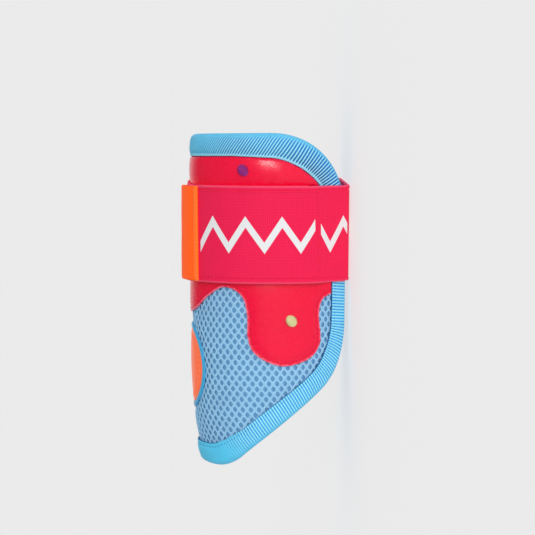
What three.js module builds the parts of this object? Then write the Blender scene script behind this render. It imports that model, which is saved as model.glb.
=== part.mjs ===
// Batter's elbow guard: a padded C-shaped shell, open at the back where the arm lies, with a sewn
// leather panel, a bound edge and one elastic strap closed around it by a hook patch and a pull tab.
// Millimetres. +Z is the front of the guard, which is up as it lies on its strap, +Y is its wide end
// and X runs across the arm. The origin is on the strap's flat back, midway between the guard's sides.

import * as THREE from 'three';

// Outer form of the padded shell: a front arc of the arm's own size, with flatter arcs at the sides
const FRONT_HEIGHT = 102.8;
const WIDE_END = 67;
const TONGUE_END = -153.4;
const FRONT_RADIUS_WIDE = 53;
const FRONT_RADIUS_TONGUE = 43;
const SIDE_RADIUS = 68;
const CURL_START = -60;
const CURL_DROP = 7;
const CURL_POWER = 2.5;

// Flat pattern of the shell: its corners from the wide end to the tongue, on one half
const SIDE_EDGE = 136.5;
const OUTLINE_CORNERS = [
  { across: SIDE_EDGE, along: WIDE_END, radius: 56 },
  { across: SIDE_EDGE, along: -86, radius: 54 },
  { across: 38, along: TONGUE_END, radius: 43 },
];
const OUTLINE_STEPS = { straight: [12, 5, 8, 4], arc: [8, 5, 3] };

// Foam pad under its mesh cover
const PAD_EDGE_THICK = 6;
const PAD_RINGS = [
  { inset: 28, thick: 10 },
  { inset: 21, thick: 8 },
  { inset: 14, thick: PAD_EDGE_THICK },
  { inset: 9, thick: PAD_EDGE_THICK },
];

// Tape bound around the pad's edge
const TAPE_THICK = 1.2;
const TAPE_FRONT_WIDTH = 15;
const TAPE_BACK_WIDTH = 13;

// Leather panel sewn on the front; its lower edge is cut in lobes, given here on one half
const PANEL_THICK = 1.2;
const PANEL_SIDE_END = -31;
const LOBE_EDGE = [
  { across: 18, along: -48.3 },
  { across: 31.5, along: -40 },
  { across: 46.5, along: -33 },
  { across: 58.4, along: -38.2 },
  { across: 62.2, along: -51 },
  { across: 62.2, along: -66 },
  { across: 67.4, along: -77.4 },
  { across: 83.3, along: -84.6 },
  { across: 101.7, along: -80.5 },
  { across: 110.6, along: -70 },
  { across: 110, along: -51 },
  { across: 113.5, along: -41 },
];
const LOBE_FRONT_TIP = -51.8;
const LOBE_SIDE_END = -37;
// Groups of columns on one half, from the middle to the side, with the share of the lobed edge and of the
// tape's edge where each ends; they fan out, so that no column crosses the notch beside the lobe
const PANEL_FANS = [
  { lower: 0.44, upper: 0.4, columns: 14 },
  { lower: 0.88, upper: 0.52, columns: 14 },
  { lower: 1, upper: 1, columns: 12 },
];
const PANEL_ROWS = 6;

// Elastic strap: one band, wound once round the guard and lapped over its own start. It sits nearer to the
// wide end on its far side than on the near side, where it laps
const STRAP_WIDTH = 63.5;
const STRAP_THICK = 1.5;
const STRAP_LAP_END = 103;
const STRAP_STEP_DOWN = 120;
const STRAP_SEWN_END = 14;
const STRAP_RISE_NEAR = 1.4;
const STRAP_RISE_FAR = 5;
const STRAP_RISE_ENDS = 20;
const STRAP_STATION = 6;
const BEND_STEPS = 4;

// Hook patch inside the lap, and the folded pull tab on the strap's outer end
const PATCH_THICK = 1;
const PATCH_START = 34;
const PATCH_WIDTH = 58;
const TAB_THICK = 0.8;
const TAB_FOLD = -6;
const TAB_END = 30;
const TAB_WIDTH = 62.4;

// Raised oval badge on the tongue, inside a rim of its own. Profiles of round pieces go from the underside
// to the top, with the distance from the middle as a share of the half size
const BADGE = { across: 0, along: -88, halfAcross: 24, halfAlong: 25 };
const BADGE_SIDES = 32;
const BADGE_PROFILE = [
  { share: 0, height: 0 },
  { share: 0.35, height: 0 },
  { share: 0.7, height: 0 },
  { share: 1, height: 0 },
  { share: 1, height: 0.7 },
  { share: 0.94, height: 1.1 },
  { share: 0.5, height: 1.5 },
  { share: 0, height: 1.6 },
];
const RIM_WIDTH = 3.2;
const RIM_ROUNDING = 0.8;
const RIM_SHOULDER = 0.8;
const RIM_HEIGHT = 1.3;
const RIM_SIDES = 40;

// Embroidered dots on the panel
const DOT_RADIUS = 4;
const DOT_SIDES = 16;
const DOT_PROFILE = [
  { share: 0, height: 0 },
  { share: 1, height: 0 },
  { share: 1, height: 0.4 },
  { share: 0.7, height: 0.85 },
  { share: 0, height: 1 },
];
const DOTS = [
  { name: 'plum', across: 62, along: 43, colour: 0xab3c99 },
  { name: 'cream', across: 90, along: -55, colour: 0xe6e2a7 },
];

// Clearance between pieces, and the heights off the shell that it stacks up to
const GAP = 0.3;
const PANEL_TOP = GAP + PANEL_THICK;
const STRAP_INNER = PANEL_TOP + GAP;
const PATCH_INNER = STRAP_INNER + STRAP_THICK + GAP;
const STRAP_OUTER = PATCH_INNER + PATCH_THICK + GAP;
const TAB_OUTER = STRAP_OUTER + STRAP_THICK + GAP;
const TAB_INNER = STRAP_OUTER - GAP - TAB_THICK;

const DIFFERENCE_STEP = 0.05;

// Point of the shell's outer surface at a place of its flat pattern
function shellSurface(across, along) {
  const share = (along - TONGUE_END) / (WIDE_END - TONGUE_END);
  const radius = THREE.MathUtils.lerp(FRONT_RADIUS_TONGUE, FRONT_RADIUS_WIDE, share);
  const curl = Math.max(0, (CURL_START - along) / (CURL_START - TONGUE_END)) ** CURL_POWER;
  const axisHeight = FRONT_HEIGHT - CURL_DROP * curl - radius;
  const side = Math.sign(across);
  const reach = Math.abs(across);
  const quarter = (radius * Math.PI) / 2;
  if (reach <= quarter) {
    const turn = reach / radius;
    return new THREE.Vector3(side * radius * Math.sin(turn), along, axisHeight + radius * Math.cos(turn));
  }
  const turn = (reach - quarter) / SIDE_RADIUS;
  const halfWidth = radius - SIDE_RADIUS + SIDE_RADIUS * Math.cos(turn);
  return new THREE.Vector3(side * halfWidth, along, axisHeight - SIDE_RADIUS * Math.sin(turn));
}

function shellNormal(across, along) {
  const h = DIFFERENCE_STEP;
  const acrossWay = shellSurface(across + h, along).sub(shellSurface(across - h, along));
  const alongWay = shellSurface(across, along + h).sub(shellSurface(across, along - h));
  return acrossWay.cross(alongWay).normalize();
}

// The same place, a given height off the shell
function onShell(across, along, height) {
  return shellSurface(across, along).addScaledVector(shellNormal(across, along), height);
}

// Closed loop of the flat pattern, inset from the guard's outline: it starts at the middle of the
// wide end, goes down the positive side to the tongue and comes back up the other side
function outlineLoop(inset) {
  const ends = [
    { across: 0, along: WIDE_END, radius: 0 },
    ...OUTLINE_CORNERS,
    { across: 0, along: TONGUE_END, radius: 0 },
  ];
  const places = ends.map((end) => new THREE.Vector2(end.across, end.along));
  const half = [places[0].clone().add(new THREE.Vector2(0, -inset))];
  const addStraight = (target, steps) => {
    const start = half[half.length - 1];
    for (let step = 1; step <= steps; step++) half.push(start.clone().lerp(target, step / steps));
  };
  for (let corner = 1; corner <= OUTLINE_CORNERS.length; corner++) {
    const { radius } = ends[corner];
    const before = places[corner].clone().sub(places[corner - 1]).normalize();
    const after = places[corner + 1].clone().sub(places[corner]).normalize();
    const turn = Math.acos(before.dot(after));
    const arcStart = places[corner].clone().addScaledVector(before, -radius * Math.tan(turn / 2));
    const outward = new THREE.Vector2(-before.y, before.x);
    const centre = arcStart.addScaledVector(outward, -radius);
    const arcSteps = OUTLINE_STEPS.arc[corner - 1];
    const onArc = (step) => {
      const spoke = outward.clone().rotateAround(new THREE.Vector2(), (-turn * step) / arcSteps);
      return centre.clone().addScaledVector(spoke, radius - inset);
    };
    addStraight(onArc(0), OUTLINE_STEPS.straight[corner - 1]);
    for (let step = 1; step <= arcSteps; step++) half.push(onArc(step));
  }
  const tongueMiddle = new THREE.Vector2(0, TONGUE_END + inset);
  addStraight(tongueMiddle, OUTLINE_STEPS.straight[OUTLINE_CORNERS.length]);
  const mirrored = half.slice(1, -1).reverse().map((p) => new THREE.Vector2(-p.x, p.y));
  return [...half, ...mirrored];
}

// Geometry from points and triangles
function meshGeometry(points, triangles) {
  const geometry = new THREE.BufferGeometry();
  geometry.setAttribute('position', new THREE.Float32BufferAttribute(points.flatMap((p) => p.toArray()), 3));
  geometry.setIndex(triangles.flat());
  geometry.computeVertexNormals();
  return geometry;
}

const quad = (a, b, c, d) => [[a, b, c], [a, c, d]];

// Slab between two grids of points, the outer one seen with its rows down and its columns to the right
function slabGeometry(outer, inner) {
  const rows = outer.length;
  const columns = outer[0].length;
  const points = [...outer.flat(), ...inner.flat()];
  const top = (row, column) => row * columns + column;
  const under = (row, column) => rows * columns + top(row, column);
  const triangles = [];
  for (let row = 0; row + 1 < rows; row++) {
    for (let column = 0; column + 1 < columns; column++) {
      triangles.push(
        ...quad(top(row, column), top(row + 1, column), top(row + 1, column + 1), top(row, column + 1)),
        ...quad(under(row, column), under(row, column + 1), under(row + 1, column + 1), under(row + 1, column)),
      );
    }
    const last = columns - 1;
    triangles.push(
      ...quad(top(row, 0), under(row, 0), under(row + 1, 0), top(row + 1, 0)),
      ...quad(top(row, last), top(row + 1, last), under(row + 1, last), under(row, last)),
    );
  }
  for (let column = 0; column + 1 < columns; column++) {
    const last = rows - 1;
    triangles.push(
      ...quad(top(0, column), top(0, column + 1), under(0, column + 1), under(0, column)),
      ...quad(top(last, column), under(last, column), under(last, column + 1), top(last, column + 1)),
    );
  }
  return meshGeometry(points, triangles);
}

// Bands that go round the guard's edge: one loop of points for each place of a section
function edgeBands(section) {
  const points = [];
  const rings = section.map(({ inset, height }) => {
    const first = points.length;
    points.push(...outlineLoop(inset).map((p) => onShell(p.x, p.y, height)));
    return first;
  });
  const count = points.length / rings.length;
  const triangles = [];
  const join = (from, to) => {
    for (let step = 0; step < count; step++) {
      const next = (step + 1) % count;
      triangles.push(...quad(from + step, from + next, to + next, to + step));
    }
  };
  for (let ring = 0; ring + 1 < rings.length; ring++) join(rings[ring], rings[ring + 1]);
  return { points, triangles, rings, count, join };
}

// Half circle of section places round the pad's edge
const EDGE_ROUND_STEPS = 4;
const EDGE_CORE = TAPE_THICK + GAP + PAD_EDGE_THICK / 2;
function edgeRound(radius) {
  return Array.from({ length: EDGE_ROUND_STEPS + 1 }, (_, step) => {
    const turn = (Math.PI * step) / EDGE_ROUND_STEPS;
    return {
      inset: EDGE_CORE - radius * Math.sin(turn),
      height: -PAD_EDGE_THICK / 2 + radius * Math.cos(turn),
    };
  });
}

// Pad: outer face, round edge and a thicker middle on the arm's side
function padGeometry() {
  const section = [
    ...PAD_RINGS.map(({ inset }) => ({ inset, height: 0 })),
    ...edgeRound(PAD_EDGE_THICK / 2),
    ...PAD_RINGS.toReversed().map(({ inset, thick }) => ({ inset, height: -thick })),
  ];
  const { points, triangles, rings, count } = edgeBands(section);

  const sideSteps = OUTLINE_STEPS.straight[1];
  const halfTop = OUTLINE_STEPS.straight[0] + OUTLINE_STEPS.arc[0];
  const [middle] = PAD_RINGS;
  const flat = outlineLoop(middle.inset);
  const fillMiddle = (ring, height, outward) => {
    const index = [];
    for (let row = 0; row <= sideSteps; row++) {
      index.push([]);
      for (let column = -halfTop; column <= halfTop; column++) {
        const topStep = (column + count) % count;
        const lowStep = count / 2 - column;
        const rightStep = halfTop + row;
        if (row === 0) index[row].push(ring + topStep);
        else if (row === sideSteps) index[row].push(ring + lowStep);
        else if (column === halfTop) index[row].push(ring + rightStep);
        else if (column === -halfTop) index[row].push(ring + count - rightStep);
        else {
          const place = flat[topStep].clone().lerp(flat[lowStep], row / sideSteps);
          index[row].push(points.push(onShell(place.x, place.y, height)) - 1);
        }
      }
    }
    for (let row = 0; row < sideSteps; row++) {
      for (let column = 0; column < 2 * halfTop; column++) {
        const corners = [
          index[row][column],
          index[row + 1][column],
          index[row + 1][column + 1],
          index[row][column + 1],
        ];
        triangles.push(...quad(...(outward ? corners : corners.toReversed())));
      }
    }
  };
  fillMiddle(rings[0], 0, true);
  fillMiddle(rings[rings.length - 1], -middle.thick, false);
  return meshGeometry(points, triangles);
}

// Tape folded round the edge: its outside face, then its inside face back to the start
function edgeBindingGeometry() {
  const flanges = (radius) => {
    const round = edgeRound(radius);
    const front = round[0];
    const back = round[round.length - 1];
    const frontMiddle = { inset: (TAPE_FRONT_WIDTH + front.inset) / 2, height: front.height };
    const backMiddle = { inset: (TAPE_BACK_WIDTH + back.inset) / 2, height: back.height };
    return [
      { inset: TAPE_FRONT_WIDTH, height: front.height },
      frontMiddle,
      ...round,
      backMiddle,
      { inset: TAPE_BACK_WIDTH, height: back.height },
    ];
  };
  const innerRadius = PAD_EDGE_THICK / 2 + GAP;
  const section = [...flanges(innerRadius + TAPE_THICK), ...flanges(innerRadius).toReversed()];
  const { points, triangles, rings, join } = edgeBands(section);
  join(rings[rings.length - 1], rings[0]);
  return meshGeometry(points, triangles);
}

// Panel: straight columns between the tape's inner edge and the lobed edge
function panelGeometry() {
  const inset = TAPE_FRONT_WIDTH + GAP;
  const side = SIDE_EDGE - inset;
  const mirror = (half) => [...half.toReversed().map((p) => new THREE.Vector2(-p.x, p.y)), ...half];
  const upperHalf = outlineLoop(inset).filter((p) => p.x > 0 && p.y > PANEL_SIDE_END);
  const wideMiddle = new THREE.Vector2(0, WIDE_END - inset);
  const upperEnd = new THREE.Vector2(side, PANEL_SIDE_END);
  const upper = new THREE.SplineCurve([
    ...upperHalf.toReversed().map((p) => new THREE.Vector2(-p.x, p.y)),
    wideMiddle,
    ...upperHalf,
  ]);
  upper.points.unshift(new THREE.Vector2(-upperEnd.x, upperEnd.y));
  upper.points.push(upperEnd);
  const lowerHalf = LOBE_EDGE.map((row) => new THREE.Vector2(row.across, row.along));
  const lowerEnd = new THREE.Vector2(side, LOBE_SIDE_END);
  const lower = new THREE.SplineCurve(mirror([...lowerHalf, lowerEnd]));
  lower.points.splice(lowerHalf.length + 1, 0, new THREE.Vector2(0, LOBE_FRONT_TIP));

  const middle = { lower: 0, upper: 0 };
  const halfColumns = PANEL_FANS.flatMap((fan, index) => {
    const start = index === 0 ? middle : PANEL_FANS[index - 1];
    return Array.from({ length: fan.columns }, (_, step) => ({
      lower: THREE.MathUtils.lerp(start.lower, fan.lower, (step + 1) / fan.columns),
      upper: THREE.MathUtils.lerp(start.upper, fan.upper, (step + 1) / fan.columns),
    }));
  });
  const otherColumns = halfColumns.map(({ lower: low, upper: high }) => ({ lower: -low, upper: -high }));
  const columns = [...otherColumns.toReversed(), middle, ...halfColumns];
  const grid = (height) => Array.from({ length: PANEL_ROWS + 1 }, (_, row) =>
    columns.map((column) => {
      const place = upper.getPointAt((1 + column.upper) / 2);
      place.lerp(lower.getPointAt((1 + column.lower) / 2), row / PANEL_ROWS);
      return onShell(place.x, place.y, height);
    }));
  return slabGeometry(grid(PANEL_TOP), grid(GAP));
}

// Stations evenly spaced between two places, the last one left out
function stations(from, to, spacing) {
  const steps = Math.max(1, Math.round(Math.abs(to - from) / spacing));
  return Array.from({ length: steps }, (_, step) => from + ((to - from) * step) / steps);
}

// Strap: a station is a function that gives its point for a place across its width and a side of the band
function strapGeometry() {
  const bendCentre = SIDE_EDGE - EDGE_CORE;
  const onWall = (across, height, rise) => (along, face) =>
    onShell(across, along + rise, height + face * STRAP_THICK);
  const onBend = (side, share, rise) => (along, face) => {
    const centre = onShell(side * bendCentre, along + rise, -PAD_EDGE_THICK / 2);
    const normal = shellNormal(side * bendCentre, along + rise);
    const start = Math.atan2(normal.z, side * normal.x);
    const angle = THREE.MathUtils.lerp(start, -Math.PI / 2, share);
    const wallReach = PAD_EDGE_THICK / 2 + STRAP_INNER;
    const reach = THREE.MathUtils.lerp(wallReach, centre.z - STRAP_THICK, share) + face * STRAP_THICK;
    const offset = new THREE.Vector3(side * Math.cos(angle) * reach, 0, Math.sin(angle) * reach);
    return centre.add(offset);
  };
  const startRise = (across) => THREE.MathUtils.lerp(
    STRAP_RISE_NEAR, STRAP_RISE_FAR, THREE.MathUtils.smoothstep(-across, -STRAP_RISE_ENDS, STRAP_RISE_ENDS));
  const path = [
    ...stations(STRAP_SEWN_END, STRAP_LAP_END, STRAP_STATION).map((s) =>
      onWall(s, STRAP_OUTER, STRAP_RISE_NEAR)),
    ...stations(STRAP_LAP_END, STRAP_STEP_DOWN, STRAP_STATION).map((s) => {
      const share = (s - STRAP_LAP_END) / (STRAP_STEP_DOWN - STRAP_LAP_END);
      return onWall(s, THREE.MathUtils.lerp(STRAP_OUTER, STRAP_INNER, share), STRAP_RISE_NEAR);
    }),
    ...stations(STRAP_STEP_DOWN, bendCentre, STRAP_STATION).map((s) => onWall(s, STRAP_INNER, STRAP_RISE_NEAR)),
    ...stations(0, 1, 1 / BEND_STEPS).map((share) => onBend(1, share, STRAP_RISE_NEAR)),
    onBend(1, 1, STRAP_RISE_NEAR),
    ...stations(1, 0, 1 / BEND_STEPS).map((share) => onBend(-1, share, STRAP_RISE_FAR)),
    ...stations(-bendCentre, STRAP_LAP_END, STRAP_STATION).map((s) => onWall(s, STRAP_INNER, startRise(s))),
    onWall(STRAP_LAP_END, STRAP_INNER, STRAP_RISE_NEAR),
  ];
  const widthPlaces = [STRAP_WIDTH / 2, 0, -STRAP_WIDTH / 2];
  const grid = (face) => widthPlaces.map((along) => path.map((station) => station(along, face)));
  return slabGeometry(grid(1), grid(0));
}

// Hook patch: a plain slab between the strap's two layers
function hookPatchGeometry() {
  const places = [...stations(PATCH_START, STRAP_LAP_END, STRAP_STATION), STRAP_LAP_END];
  const widthPlaces = [PATCH_WIDTH / 2, 0, -PATCH_WIDTH / 2];
  const grid = (height) => widthPlaces.map((along) =>
    places.map((across) => onShell(across, along + STRAP_RISE_NEAR, height)));
  return slabGeometry(grid(PATCH_INNER + PATCH_THICK), grid(PATCH_INNER));
}

// Pull tab: a leaf under the strap's end, a fold and a leaf over it
function pullTabGeometry() {
  const foldHeight = (TAB_OUTER + TAB_THICK + TAB_INNER) / 2;
  const hairpin = (reach) => {
    const leaf = [...stations(TAB_END, TAB_FOLD, STRAP_STATION)];
    const fold = Array.from({ length: BEND_STEPS + 1 }, (_, step) => {
      const turn = (Math.PI * step) / BEND_STEPS;
      return { across: TAB_FOLD - reach * Math.sin(turn), height: foldHeight - reach * Math.cos(turn) };
    });
    return [
      ...leaf.map((across) => ({ across, height: foldHeight - reach })),
      ...fold,
      ...leaf.toReversed().map((across) => ({ across, height: foldHeight + reach })),
    ];
  };
  const outerReach = TAB_OUTER + TAB_THICK - foldHeight;
  const widthPlaces = [TAB_WIDTH / 2, 0, -TAB_WIDTH / 2];
  const grid = (reach) => widthPlaces.map((along) =>
    hairpin(reach).map(({ across, height }) => onShell(across, along + STRAP_RISE_NEAR, height)));
  return slabGeometry(grid(outerReach), grid(outerReach - TAB_THICK));
}

// Round piece turned about the shell's normal at a place, stretched to its half sizes and laid on the shell
function laidRound(profile, sides, { across, along, halfAcross, halfAlong }, base) {
  const outline = profile.map(({ share, height }) => new THREE.Vector2(share, height));
  const geometry = new THREE.LatheGeometry(outline, sides);
  const position = geometry.getAttribute('position');
  for (let i = 0; i < position.count; i++) {
    const place = onShell(
      across + position.getX(i) * halfAcross,
      along - position.getZ(i) * halfAlong,
      base + position.getY(i),
    );
    position.setXYZ(i, place.x, place.y, place.z);
  }
  geometry.computeVertexNormals();
  return geometry;
}

// Rim: a rounded ring that stands just clear of the badge
function badgeRimGeometry() {
  const inner = 1 + GAP / BADGE.halfAcross;
  const outer = inner + RIM_WIDTH / BADGE.halfAcross;
  const rounding = RIM_ROUNDING / BADGE.halfAcross;
  const profile = [
    { share: inner, height: 0 },
    { share: outer, height: 0 },
    { share: outer, height: RIM_SHOULDER },
    { share: outer - rounding, height: RIM_HEIGHT },
    { share: inner + rounding, height: RIM_HEIGHT },
    { share: inner, height: RIM_SHOULDER },
    { share: inner, height: 0 },
  ];
  return laidRound(profile, RIM_SIDES, BADGE, GAP);
}

function dotGeometry(dot, side) {
  const place = { across: side * dot.across, along: dot.along, halfAcross: DOT_RADIUS, halfAlong: DOT_RADIUS };
  return laidRound(DOT_PROFILE, DOT_SIDES, place, PANEL_TOP + GAP);
}

const group = new THREE.Group();

function addPiece(name, geometry, color, roughness) {
  const mesh = new THREE.Mesh(geometry, new THREE.MeshStandardMaterial({ color, roughness, metalness: 0 }));
  mesh.name = name;
  group.add(mesh);
}

addPiece('pad', padGeometry(), 0x7db2d8, 0.9);
addPiece('edge_binding', edgeBindingGeometry(), 0x6ac5ea, 0.7);
addPiece('panel', panelGeometry(), 0xf71b41, 0.5);
addPiece('strap', strapGeometry(), 0xf2274c, 0.8);
addPiece('hook_patch', hookPatchGeometry(), 0xb01030, 0.9);
addPiece('pull_tab', pullTabGeometry(), 0xfd6726, 0.7);
addPiece('badge', laidRound(BADGE_PROFILE, BADGE_SIDES, BADGE, GAP), 0xf5723a, 0.35);
addPiece('badge_rim', badgeRimGeometry(), 0x3f9fd6, 0.4);
for (const dot of DOTS) {
  addPiece(`dot_${dot.name}_near`, dotGeometry(dot, 1), dot.colour, 0.6);
  addPiece(`dot_${dot.name}_far`, dotGeometry(dot, -1), dot.colour, 0.6);
}

export default group;
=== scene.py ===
import math

import bpy
import numpy as np
from mathutils import Matrix


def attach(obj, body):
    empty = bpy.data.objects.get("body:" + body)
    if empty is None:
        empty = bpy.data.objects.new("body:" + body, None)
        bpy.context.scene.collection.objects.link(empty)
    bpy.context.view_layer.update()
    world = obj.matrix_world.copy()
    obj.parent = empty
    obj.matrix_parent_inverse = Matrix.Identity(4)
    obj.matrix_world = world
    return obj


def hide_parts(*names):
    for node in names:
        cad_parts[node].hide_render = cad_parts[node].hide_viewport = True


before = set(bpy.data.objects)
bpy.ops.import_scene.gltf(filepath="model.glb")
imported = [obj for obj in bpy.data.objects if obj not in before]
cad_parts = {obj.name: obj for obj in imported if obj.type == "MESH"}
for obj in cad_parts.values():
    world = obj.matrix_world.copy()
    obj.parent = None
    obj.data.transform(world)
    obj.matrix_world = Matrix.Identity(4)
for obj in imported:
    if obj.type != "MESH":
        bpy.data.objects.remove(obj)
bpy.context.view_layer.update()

# Foam pad
# A moulded foam shell bent to a C round the arm and open at the back, with knitted cloth laminated to
# both faces. It is cut to a rounded six-sided outline and pressed thinner along its edge for the tape.
mm = 0.001
front_height = 102.8 * mm
wide_end = 67 * mm
tongue_end = -153.4 * mm
wide_radius = 53 * mm
tongue_radius = 43 * mm
side_radius = 68 * mm
curl_start = -60 * mm
curl_drop = 7 * mm
curl_power = 2.5
side_edge = 136.5 * mm
outline_corners = (
    (side_edge, wide_end, 56 * mm),
    (side_edge, -86 * mm, 54 * mm),
    (38 * mm, tongue_end, 43 * mm),
)
pad_edge_thick = 6 * mm
pad_middle_thick = 10 * mm
tape_width = 15 * mm
tape_back_width = 13 * mm
edge_core = 4.5 * mm


def shell_surface(across, along):
    """Points of the guard's outer form at places of its flat pattern."""
    share = (along - tongue_end) / (wide_end - tongue_end)
    radius = tongue_radius + (wide_radius - tongue_radius) * share
    curl = np.clip((curl_start - along) / (curl_start - tongue_end), 0, None) ** curl_power
    axis_height = front_height - curl_drop * curl - radius
    reach = np.abs(across)
    front_turn = np.minimum(reach / radius, math.pi / 2)
    side_turn = np.maximum(reach - radius * math.pi / 2, 0) / side_radius
    half_width = radius * np.sin(front_turn) + side_radius * (np.cos(side_turn) - 1)
    height = axis_height + radius * np.cos(front_turn) - side_radius * np.sin(side_turn)
    return np.stack([np.sign(across) * half_width, along, height], -1)


def shell_normal(across, along):
    step = 0.05 * mm
    run = shell_surface(across + step, along) - shell_surface(across - step, along)
    climb = shell_surface(across, along + step) - shell_surface(across, along - step)
    normal = np.cross(run, climb)
    return normal / np.linalg.norm(normal, axis=-1, keepdims=True)


def on_shell(flat, height):
    """Points a given height off the shell, at (across, along) places of the flat pattern."""
    across, along = flat[..., 0], flat[..., 1]
    height = np.broadcast_to(height, across.shape)
    return shell_surface(across, along) + shell_normal(across, along) * height[..., None]


def outline_edges():
    """Straight edges and corner arcs of the outline's positive half, from the wide end to the tongue."""
    places = np.array([(0, wide_end), *[corner[:2] for corner in outline_corners], (0, tongue_end)])
    ways = np.diff(places, axis=0)
    ways /= np.linalg.norm(ways, axis=1, keepdims=True)
    outs = np.stack([-ways[:, 1], ways[:, 0]], -1)
    arcs = []
    for n, (_, _, radius) in enumerate(outline_corners):
        turn = math.acos(ways[n] @ ways[n + 1])
        start = places[n + 1] - ways[n] * radius * math.tan(turn / 2)
        arcs.append((start - outs[n] * radius, radius, turn))
    return places, ways, outs, arcs


def half_outline(inset, spacing):
    """Points of the positive half of the outline, inset; the count doesn't change with the inset."""
    places, _, outs, arcs = outline_edges()
    points = [np.array([0, wide_end - inset])]
    full_size_end = places[0]

    def add_straight(target, full_size_target):
        steps = max(1, math.ceil(np.linalg.norm(full_size_target - full_size_end) / spacing))
        start = points[-1]
        points.extend(start + (target - start) * (step + 1) / steps for step in range(steps))

    for n, (centre, radius, turn) in enumerate(arcs):
        add_straight(centre + outs[n] * (radius - inset), centre + outs[n] * radius)
        steps = math.ceil(radius * turn / spacing)
        for angle in np.linspace(0, turn, steps + 1)[1:]:
            c, s = math.cos(-angle), math.sin(-angle)
            spoke = np.array([c * outs[n][0] - s * outs[n][1], s * outs[n][0] + c * outs[n][1]])
            points.append(centre + spoke * (radius - inset))
        full_size_end = centre + spoke * radius
    add_straight(np.array([0, tongue_end + inset]), places[-1])
    return np.array(points)


def outline_loop(inset, spacing):
    half = half_outline(inset, spacing)
    return np.concatenate([half, half[-2:0:-1] * (-1, 1)])


def folded_half(flat):
    """Places folded over to the pattern's positive half."""
    return np.stack([np.abs(flat[..., 0]), flat[..., 1]], -1)


def inset_of(flat):
    """How far inside the guard's outline each place lies."""
    places, ways, outs, arcs = outline_edges()
    folded = folded_half(flat)
    depth = np.min([-(folded - places[n + 1]) @ outs[n] for n in range(len(outs))], axis=0)
    for n, (centre, radius, _) in enumerate(arcs):
        spoke = folded - centre
        in_wedge = (spoke @ ways[n] > 0) & (spoke @ ways[n + 1] < 0)
        depth = np.where(in_wedge, np.minimum(depth, radius - np.linalg.norm(spoke, axis=-1)), depth)
    return depth


def soft_step(value, low, high):
    t = np.clip((value - low) / (high - low), 0, 1)
    return t * t * (3 - 2 * t)


def eased(value, start, end, low, high):
    """Goes smoothly from low to high while a value goes from start to end."""
    return low + (high - low) * soft_step(value, start, end)


def half_turn(steps):
    """Angles of a rounded fold, without its two ends."""
    return np.linspace(0, math.pi, steps + 1)[1:-1]


def grid_faces(rows, columns, first=0):
    """Quads of a grid whose columns run to the right and rows run up, seen from outside."""
    corner = first + (np.arange(rows - 1)[:, None] * columns + np.arange(columns - 1)).ravel()
    return np.stack([corner, corner + 1, corner + columns + 1, corner + columns], -1)


def grid_rim(rows, columns):
    """Indices round a grid's edge, the way its faces turn."""
    index = np.arange(rows * columns).reshape(rows, columns)
    return np.concatenate([index[0, :-1], index[:-1, -1], index[-1, :0:-1], index[:0:-1, 0]])


def ring_faces(ring_a, ring_b):
    return np.stack([ring_a, ring_b, np.roll(ring_b, -1), np.roll(ring_a, -1)], -1)


def keep_pattern(mesh, uv):
    """Keeps the flat pattern's place of each point, in metres, as the mesh's UV map."""
    corner = np.empty(len(mesh.loops), np.int32)
    mesh.loops.foreach_get("vertex_index", corner)
    layer = mesh.uv_layers.new(name="pattern")
    layer.data.foreach_set("uv", np.asarray(uv, np.float32)[corner].ravel())


def new_piece(name, points, faces, uv=None):
    """A smooth mesh object from points and faces."""
    mesh = bpy.data.meshes.new(name)
    mesh.from_pydata(np.asarray(points).tolist(), [], [list(map(int, face)) for face in faces])
    mesh.shade_smooth()
    if uv is not None:
        keep_pattern(mesh, uv)
    piece = bpy.data.objects.new(name, mesh)
    bpy.context.scene.collection.objects.link(piece)
    return piece


def slab_values(values, rim, rings):
    """Values of a grid's points for all the points of a slab: top, underside and rings round the rim."""
    return np.concatenate([values, values, *[values[rim]] * len(rings)])


def closed_slab(name, top, under, rim_rings, uv):
    """A closed slab from two grids of points, with rings of points that round its rim."""
    rows, columns = top.shape[:2]
    count = rows * columns
    rim = grid_rim(rows, columns)
    points = np.concatenate([top.reshape(-1, 3), under.reshape(-1, 3), *rim_rings])
    loops = [rim, *np.arange(2 * count, len(points)).reshape(-1, len(rim)), rim + count]
    faces = [grid_faces(rows, columns), grid_faces(rows, columns, count)[:, ::-1]]
    faces.extend(ring_faces(a, b) for a, b in zip(loops, loops[1:]))
    return new_piece(name, points, np.concatenate(faces), slab_values(uv.reshape(-1, 2), rim, rim_rings))


def rim_outward(flat):
    """Outward ways in the flat pattern round a grid's edge."""
    edge = flat.reshape(-1, 2)[grid_rim(*flat.shape[:2])]
    run = np.roll(edge, -1, axis=0) - np.roll(edge, 1, axis=0)
    out = np.stack([run[:, 1], -run[:, 0]], -1)
    return edge, out / np.linalg.norm(out, axis=1, keepdims=True)


pad_columns = 180
pad_rows = 90
fine_step = 0.5 * mm
pad_half = half_outline(edge_core, fine_step)
pad_side = side_edge - edge_core
edge_slack = 1e-7
on_side = np.flatnonzero(pad_half[:, 0] > pad_side - edge_slack)
pad_high, pad_low = pad_half[: on_side[0] + 1], pad_half[on_side[-1]:][::-1]
even = np.linspace(-1, 1, pad_columns)
side_gather = 0.4
column_places = pad_side * ((1 - side_gather) * even + side_gather * np.sin(even * math.pi / 2))
high, low = [np.interp(np.abs(column_places), half[:, 0], half[:, 1]) for half in (pad_high, pad_low)]
pad_along = low + (high - low) * np.linspace(0, 1, pad_rows)[:, None]
pad_flat = np.stack([np.broadcast_to(column_places, pad_along.shape), pad_along], -1)

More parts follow.
